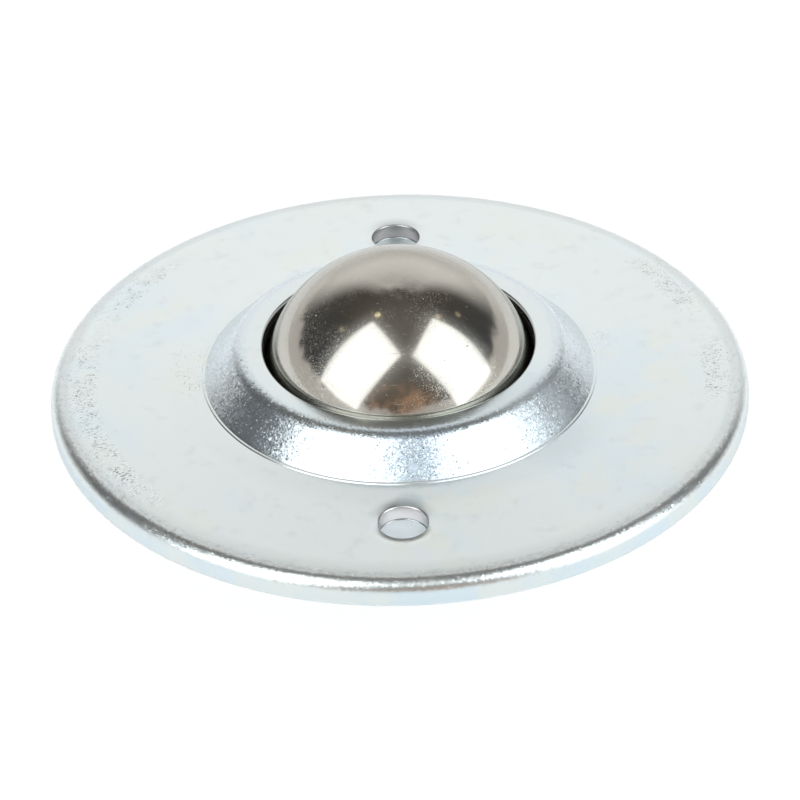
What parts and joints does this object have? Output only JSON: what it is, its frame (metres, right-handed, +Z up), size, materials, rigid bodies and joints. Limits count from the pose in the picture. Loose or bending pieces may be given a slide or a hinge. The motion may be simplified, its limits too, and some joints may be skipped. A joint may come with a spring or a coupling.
{
  "type": "ball transfer unit",
  "caption": "Ball transfer unit: a load ball rolling on support balls in a pressed steel cup, held by a domed lip in a round dished flange with holes for screws.",
  "frame": {"origin": "centre of the two fixing holes, on the ball's vertical axis, in the plane of the rolled edge that seats on the mounting surface", "axes": "+Z up through the load ball, away from the mounting surface; the two fixing holes lie along Y; the modelled roll axis is X"},
  "size_m": [0.065, 0.065, 0.0315],
  "materials": {
    "zinc_plated_steel": "bright zinc plate, faintly blue, on pressed sheet steel",
    "zinc_plated_cup": "bright zinc plate on drawn sheet steel",
    "polished_ball": "polished bearing steel with fine scratches",
    "support_balls": "polished bearing steel"
  },
  "bodies": {
    "housing": {"top_plate": "zinc_plated_steel", "bottom_plate": "zinc_plated_cup"},
    "ball": {"main_ball": "polished_ball"},
    "support_0_00": {"support_ball_0_00": "support_balls"},
    "support_1_00": {"support_ball_1_00": "support_balls"},
    "support_1_01": {"support_ball_1_01": "support_balls"},
    "support_1_02": {"support_ball_1_02": "support_balls"},
    "support_1_03": {"support_ball_1_03": "support_balls"},
    "support_1_04": {"support_ball_1_04": "support_balls"},
    "support_1_05": {"support_ball_1_05": "support_balls"},
    "support_2_00": {"support_ball_2_00": "support_balls"},
    "support_2_01": {"support_ball_2_01": "support_balls"},
    "support_2_02": {"support_ball_2_02": "support_balls"},
    "support_2_03": {"support_ball_2_03": "support_balls"},
    "support_2_04": {"support_ball_2_04": "support_balls"},
    "support_2_05": {"support_ball_2_05": "support_balls"},
    "support_2_06": {"support_ball_2_06": "support_balls"},
    "support_2_07": {"support_ball_2_07": "support_balls"},
    "support_2_08": {"support_ball_2_08": "support_balls"},
    "support_2_09": {"support_ball_2_09": "support_balls"},
    "support_2_10": {"support_ball_2_10": "support_balls"},
    "support_3_00": {"support_ball_3_00": "support_balls"},
    "support_3_01": {"support_ball_3_01": "support_balls"},
    "support_3_02": {"support_ball_3_02": "support_balls"},
    "support_3_03": {"support_ball_3_03": "support_balls"},
    "support_3_04": {"support_ball_3_04": "support_balls"},
    "support_3_05": {"support_ball_3_05": "support_balls"},
    "support_3_06": {"support_ball_3_06": "support_balls"},
    "support_3_07": {"support_ball_3_07": "support_balls"},
    "support_3_08": {"support_ball_3_08": "support_balls"},
    "support_3_09": {"support_ball_3_09": "support_balls"},
    "support_3_10": {"support_ball_3_10": "support_balls"},
    "support_3_11": {"support_ball_3_11": "support_balls"},
    "support_3_12": {"support_ball_3_12": "support_balls"},
    "support_3_13": {"support_ball_3_13": "support_balls"},
    "support_3_14": {"support_ball_3_14": "support_balls"},
    "support_3_15": {"support_ball_3_15": "support_balls"},
    "support_4_00": {"support_ball_4_00": "support_balls"},
    "support_4_01": {"support_ball_4_01": "support_balls"},
    "support_4_02": {"support_ball_4_02": "support_balls"},
    "support_4_03": {"support_ball_4_03": "support_balls"},
    "support_4_04": {"support_ball_4_04": "support_balls"},
    "support_4_05": {"support_ball_4_05": "support_balls"},
    "support_4_06": {"support_ball_4_06": "support_balls"},
    "support_4_07": {"support_ball_4_07": "support_balls"},
    "support_4_08": {"support_ball_4_08": "support_balls"},
    "support_4_09": {"support_ball_4_09": "support_balls"},
    "support_4_10": {"support_ball_4_10": "support_balls"},
    "support_4_11": {"support_ball_4_11": "support_balls"},
    "support_4_12": {"support_ball_4_12": "support_balls"},
    "support_4_13": {"support_ball_4_13": "support_balls"},
    "support_4_14": {"support_ball_4_14": "support_balls"},
    "support_4_15": {"support_ball_4_15": "support_balls"},
    "support_4_16": {"support_ball_4_16": "support_balls"},
    "support_4_17": {"support_ball_4_17": "support_balls"}
  },
  "joints": [
    {"name": "ball_roll", "type": "hinge", "parent": "housing", "child": "ball", "pos_m": [0, 0, 0.00255], "axis": [1, 0, 0], "continuous": true},
    {"name": "spin_0_00", "type": "hinge", "parent": "housing", "child": "support_0_00", "pos_m": [0, 0, -0.01258], "axis": [1, 0, 0], "continuous": true},
    {"name": "spin_1_00", "type": "hinge", "parent": "housing", "child": "support_1_00", "pos_m": [0.00417, 0.00241, -0.0118], "axis": [0.9613, -0.0456, 0.2716], "continuous": true},
    {"name": "spin_1_01", "type": "hinge", "parent": "housing", "child": "support_1_01", "pos_m": [0, 0.00481, -0.0118], "axis": [1, 0, 0], "continuous": true},
    {"name": "spin_1_02", "type": "hinge", "parent": "housing", "child": "support_1_02", "pos_m": [-0.00417, 0.00241, -0.0118], "axis": [0.9613, 0.0456, -0.2716], "continuous": true},
    {"name": "spin_1_03", "type": "hinge", "parent": "housing", "child": "support_1_03", "pos_m": [-0.00417, -0.00241, -0.0118], "axis": [0.9613, -0.0456, -0.2716], "continuous": true},
    {"name": "spin_1_04", "type": "hinge", "parent": "housing", "child": "support_1_04", "pos_m": [0, -0.00481, -0.0118], "axis": [1, 0, 0], "continuous": true},
    {"name": "spin_1_05", "type": "hinge", "parent": "housing", "child": "support_1_05", "pos_m": [0.00417, -0.00241, -0.0118], "axis": [0.9613, 0.0456, 0.2716], "continuous": true},
    {"name": "spin_2_00", "type": "hinge", "parent": "housing", "child": "support_2_00", "pos_m": [0.00913, 0, -0.00952], "axis": [0.7977, 0, 0.6031], "continuous": true},
    {"name": "spin_2_01", "type": "hinge", "parent": "housing", "child": "support_2_01", "pos_m": [0.00768, 0.00493, -0.00952], "axis": [0.8617, -0.192, 0.4696], "continuous": true},
    {"name": "spin_2_02", "type": "hinge", "parent": "housing", "child": "support_2_02", "pos_m": [0.00379, 0.0083, -0.00952], "axis": [0.9681, -0.142, 0.2064], "continuous": true},
    {"name": "spin_2_03", "type": "hinge", "parent": "housing", "child": "support_2_03", "pos_m": [-0.0013, 0.00903, -0.00952], "axis": [0.9963, 0.0514, -0.0687], "continuous": true},
    {"name": "spin_2_04", "type": "hinge", "parent": "housing", "child": "support_2_04", "pos_m": [-0.00598, 0.0069, -0.00952], "axis": [0.9187, 0.1959, -0.3429], "continuous": true},
    {"name": "spin_2_05", "type": "hinge", "parent": "housing", "child": "support_2_05", "pos_m": [-0.00876, 0.00257, -0.00952], "axis": [0.8156, 0.1205, -0.5659], "continuous": true},
    {"name": "spin_2_06", "type": "hinge", "parent": "housing", "child": "support_2_06", "pos_m": [-0.00876, -0.00257, -0.00952], "axis": [0.8156, -0.1205, -0.5659], "continuous": true},
    {"name": "spin_2_07", "type": "hinge", "parent": "housing", "child": "support_2_07", "pos_m": [-0.00598, -0.0069, -0.00952], "axis": [0.9187, -0.1959, -0.3429], "continuous": true},
    {"name": "spin_2_08", "type": "hinge", "parent": "housing", "child": "support_2_08", "pos_m": [-0.0013, -0.00903, -0.00952], "axis": [0.9963, -0.0514, -0.0687], "continuous": true},
    {"name": "spin_2_09", "type": "hinge", "parent": "housing", "child": "support_2_09", "pos_m": [0.00379, -0.0083, -0.00952], "axis": [0.9681, 0.142, 0.2064], "continuous": true},
    {"name": "spin_2_10", "type": "hinge", "parent": "housing", "child": "support_2_10", "pos_m": [0.00768, -0.00493, -0.00952], "axis": [0.8617, 0.192, 0.4696], "continuous": true},
    {"name": "spin_3_00", "type": "hinge", "parent": "housing", "child": "support_3_00", "pos_m": [0.01225, 0.00244, -0.00599], "axis": [0.587, -0.2221, 0.7785], "continuous": true},
    {"name": "spin_3_01", "type": "hinge", "parent": "housing", "child": "support_3_01", "pos_m": [0.01039, 0.00694, -0.00599], "axis": [0.7273, -0.4328, 0.5327], "continuous": true},
    {"name": "spin_3_02", "type": "hinge", "parent": "housing", "child": "support_3_02", "pos_m": [0.00694, 0.01039, -0.00599], "axis": [0.8886, -0.3542, 0.2913], "continuous": true},
    {"name": "spin_3_03", "type": "hinge", "parent": "housing", "child": "support_3_03", "pos_m": [0.00244, 0.01225, -0.00599], "axis": [0.9869, -0.1321, 0.0921], "continuous": true},
    {"name": "spin_3_04", "type": "hinge", "parent": "housing", "child": "support_3_04", "pos_m": [-0.00244, 0.01225, -0.00599], "axis": [0.9869, 0.1321, -0.0921], "continuous": true},
    {"name": "spin_3_05", "type": "hinge", "parent": "housing", "child": "support_3_05", "pos_m": [-0.00694, 0.01039, -0.00599], "axis": [0.8886, 0.3542, -0.2913], "continuous": true},
    {"name": "spin_3_06", "type": "hinge", "parent": "housing", "child": "support_3_06", "pos_m": [-0.01039, 0.00694, -0.00599], "axis": [0.7273, 0.4328, -0.5327], "continuous": true},
    {"name": "spin_3_07", "type": "hinge", "parent": "housing", "child": "support_3_07", "pos_m": [-0.01225, 0.00244, -0.00599], "axis": [0.587, 0.2221, -0.7785], "continuous": true},
    {"name": "spin_3_08", "type": "hinge", "parent": "housing", "child": "support_3_08", "pos_m": [-0.01225, -0.00244, -0.00599], "axis": [0.587, -0.2221, -0.7785], "continuous": true},
    {"name": "spin_3_09", "type": "hinge", "parent": "housing", "child": "support_3_09", "pos_m": [-0.01039, -0.00694, -0.00599], "axis": [0.7273, -0.4328, -0.5327], "continuous": true},
    {"name": "spin_3_10", "type": "hinge", "parent": "housing", "child": "support_3_10", "pos_m": [-0.00694, -0.01039, -0.00599], "axis": [0.8886, -0.3542, -0.2913], "continuous": true},
    {"name": "spin_3_11", "type": "hinge", "parent": "housing", "child": "support_3_11", "pos_m": [-0.00244, -0.01225, -0.00599], "axis": [0.9869, -0.1321, -0.0921], "continuous": true},
    {"name": "spin_3_12", "type": "hinge", "parent": "housing", "child": "support_3_12", "pos_m": [0.00244, -0.01225, -0.00599], "axis": [0.9869, 0.1321, 0.0921], "continuous": true},
    {"name": "spin_3_13", "type": "hinge", "parent": "housing", "child": "support_3_13", "pos_m": [0.00694, -0.01039, -0.00599], "axis": [0.8886, 0.3542, 0.2913], "continuous": true},
    {"name": "spin_3_14", "type": "hinge", "parent": "housing", "child": "support_3_14", "pos_m": [0.01039, -0.00694, -0.00599], "axis": [0.7273, 0.4328, 0.5327], "continuous": true},
    {"name": "spin_3_15", "type": "hinge", "parent": "housing", "child": "support_3_15", "pos_m": [0.01225, -0.00244, -0.00599], "axis": [0.587, 0.2221, 0.7785], "continuous": true},
    {"name": "spin_4_00", "type": "hinge", "parent": "housing", "child": "support_4_00", "pos_m": [0.01456, 0, -0.00157], "axis": [0.2726, 0, 0.9621], "continuous": true},
    {"name": "spin_4_01", "type": "hinge", "parent": "housing", "child": "support_4_01", "pos_m": [0.01368, 0.00498, -0.00157], "axis": [0.4273, -0.6962, 0.5768], "continuous": true},
    {"name": "spin_4_02", "type": "hinge", "parent": "housing", "child": "support_4_02", "pos_m": [0.01115, 0.00936, -0.00157], "axis": [0.6759, -0.6744, 0.2973], "continuous": true},
    {"name": "spin_4_03", "type": "hinge", "parent": "housing", "child": "support_4_03", "pos_m": [0.00728, 0.01261, -0.00157], "axis": [0.8767, -0.4572, 0.1496], "continuous": true},
    {"name": "spin_4_04", "type": "hinge", "parent": "housing", "child": "support_4_04", "pos_m": [0.00253, 0.01434, -0.00157], "axis": [0.9859, -0.1606, 0.0462], "continuous": true},
    {"name": "spin_4_05", "type": "hinge", "parent": "housing", "child": "support_4_05", "pos_m": [-0.00253, 0.01434, -0.00157], "axis": [0.9859, 0.1606, -0.0462], "continuous": true},
    {"name": "spin_4_06", "type": "hinge", "parent": "housing", "child": "support_4_06", "pos_m": [-0.00728, 0.01261, -0.00157], "axis": [0.8767, 0.4572, -0.1496], "continuous": true},
    {"name": "spin_4_07", "type": "hinge", "parent": "housing", "child": "support_4_07", "pos_m": [-0.01115, 0.00936, -0.00157], "axis": [0.6759, 0.6744, -0.2973], "continuous": true},
    {"name": "spin_4_08", "type": "hinge", "parent": "housing", "child": "support_4_08", "pos_m": [-0.01368, 0.00498, -0.00157], "axis": [0.4273, 0.6962, -0.5768], "continuous": true},
    {"name": "spin_4_09", "type": "hinge", "parent": "housing", "child": "support_4_09", "pos_m": [-0.01456, 0, -0.00157], "axis": [0.2726, 0, -0.9621], "continuous": true},
    {"name": "spin_4_10", "type": "hinge", "parent": "housing", "child": "support_4_10", "pos_m": [-0.01368, -0.00498, -0.00157], "axis": [0.4273, -0.6962, -0.5768], "continuous": true},
    {"name": "spin_4_11", "type": "hinge", "parent": "housing", "child": "support_4_11", "pos_m": [-0.01115, -0.00936, -0.00157], "axis": [0.6759, -0.6744, -0.2973], "continuous": true},
    {"name": "spin_4_12", "type": "hinge", "parent": "housing", "child": "support_4_12", "pos_m": [-0.00728, -0.01261, -0.00157], "axis": [0.8767, -0.4572, -0.1496], "continuous": true},
    {"name": "spin_4_13", "type": "hinge", "parent": "housing", "child": "support_4_13", "pos_m": [-0.00253, -0.01434, -0.00157], "axis": [0.9859, -0.1606, -0.0462], "continuous": true},
    {"name": "spin_4_14", "type": "hinge", "parent": "housing", "child": "support_4_14", "pos_m": [0.00253, -0.01434, -0.00157], "axis": [0.9859, 0.1606, 0.0462], "continuous": true},
    {"name": "spin_4_15", "type": "hinge", "parent": "housing", "child": "support_4_15", "pos_m": [0.00728, -0.01261, -0.00157], "axis": [0.8767, 0.4572, 0.1496], "continuous": true},
    {"name": "spin_4_16", "type": "hinge", "parent": "housing", "child": "support_4_16", "pos_m": [0.01115, -0.00936, -0.00157], "axis": [0.6759, 0.6744, 0.2973], "continuous": true},
    {"name": "spin_4_17", "type": "hinge", "parent": "housing", "child": "support_4_17", "pos_m": [0.01368, -0.00498, -0.00157], "axis": [0.4273, 0.6962, 0.5768], "continuous": true}
  ],
  "couplings": [
    {"joint": "spin_0_00", "follows": "ball_roll", "ratio": -5.3333},
    {"joint": "spin_1_00", "follows": "ball_roll", "ratio": -5.127},
    {"joint": "spin_1_01", "follows": "ball_roll", "ratio": -5.3333},
    {"joint": "spin_1_02", "follows": "ball_roll", "ratio": -5.127},
    {"joint": "spin_1_03", "follows": "ball_roll", "ratio": -5.127},
    {"joint": "spin_1_04", "follows": "ball_roll", "ratio": -5.3333},
    {"joint": "spin_1_05", "follows": "ball_roll", "ratio": -5.127},
    {"joint": "spin_2_00", "follows": "ball_roll", "ratio": -4.2543},
    {"joint": "spin_2_01", "follows": "ball_roll", "ratio": -4.596},
    {"joint": "spin_2_02", "follows": "ball_roll", "ratio": -5.1633},
    {"joint": "spin_2_03", "follows": "ball_roll", "ratio": -5.3137},
    {"joint": "spin_2_04", "follows": "ball_roll", "ratio": -4.8998},
    {"joint": "spin_2_05", "follows": "ball_roll", "ratio": -4.3498},
    {"joint": "spin_2_06", "follows": "ball_roll", "ratio": -4.3498},
    {"joint": "spin_2_07", "follows": "ball_roll", "ratio": -4.8998},
    {"joint": "spin_2_08", "follows": "ball_roll", "ratio": -5.3137},
    {"joint": "spin_2_09", "follows": "ball_roll", "ratio": -5.1633},
    {"joint": "spin_2_10", "follows": "ball_roll", "ratio": -4.596},
    {"joint": "spin_3_00", "follows": "ball_roll", "ratio": -3.1306},
    {"joint": "spin_3_01", "follows": "ball_roll", "ratio": -3.8788},
    {"joint": "spin_3_02", "follows": "ball_roll", "ratio": -4.7394},
    {"joint": "spin_3_03", "follows": "ball_roll", "ratio": -5.2637},
    {"joint": "spin_3_04", "follows": "ball_roll", "ratio": -5.2637},
    {"joint": "spin_3_05", "follows": "ball_roll", "ratio": -4.7394},
    {"joint": "spin_3_06", "follows": "ball_roll", "ratio": -3.8788},
    {"joint": "spin_3_07", "follows": "ball_roll", "ratio": -3.1306},
    {"joint": "spin_3_08", "follows": "ball_roll", "ratio": -3.1306},
    {"joint": "spin_3_09", "follows": "ball_roll", "ratio": -3.8788},
    {"joint": "spin_3_10", "follows": "ball_roll", "ratio": -4.7394},
    {"joint": "spin_3_11", "follows": "ball_roll", "ratio": -5.2637},
    {"joint": "spin_3_12", "follows": "ball_roll", "ratio": -5.2637},
    {"joint": "spin_3_13", "follows": "ball_roll", "ratio": -4.7394},
    {"joint": "spin_3_14", "follows": "ball_roll", "ratio": -3.8788},
    {"joint": "spin_3_15", "follows": "ball_roll", "ratio": -3.1306},
    {"joint": "spin_4_00", "follows": "ball_roll", "ratio": -1.4539},
    {"joint": "spin_4_01", "follows": "ball_roll", "ratio": -2.279},
    {"joint": "spin_4_02", "follows": "ball_roll", "ratio": -3.6046},
    {"joint": "spin_4_03", "follows": "ball_roll", "ratio": -4.6757},
    {"joint": "spin_4_04", "follows": "ball_roll", "ratio": -5.2584},
    {"joint": "spin_4_05", "follows": "ball_roll", "ratio": -5.2584},
    {"joint": "spin_4_06", "follows": "ball_roll", "ratio": -4.6757},
    {"joint": "spin_4_07", "follows": "ball_roll", "ratio": -3.6046},
    {"joint": "spin_4_08", "follows": "ball_roll", "ratio": -2.279},
    {"joint": "spin_4_09", "follows": "ball_roll", "ratio": -1.4539},
    {"joint": "spin_4_10", "follows": "ball_roll", "ratio": -2.279},
    {"joint": "spin_4_11", "follows": "ball_roll", "ratio": -3.6046},
    {"joint": "spin_4_12", "follows": "ball_roll", "ratio": -4.6757},
    {"joint": "spin_4_13", "follows": "ball_roll", "ratio": -5.2584},
    {"joint": "spin_4_14", "follows": "ball_roll", "ratio": -5.2584},
    {"joint": "spin_4_15", "follows": "ball_roll", "ratio": -4.6757},
    {"joint": "spin_4_16", "follows": "ball_roll", "ratio": -3.6046},
    {"joint": "spin_4_17", "follows": "ball_roll", "ratio": -2.279}
  ]
}
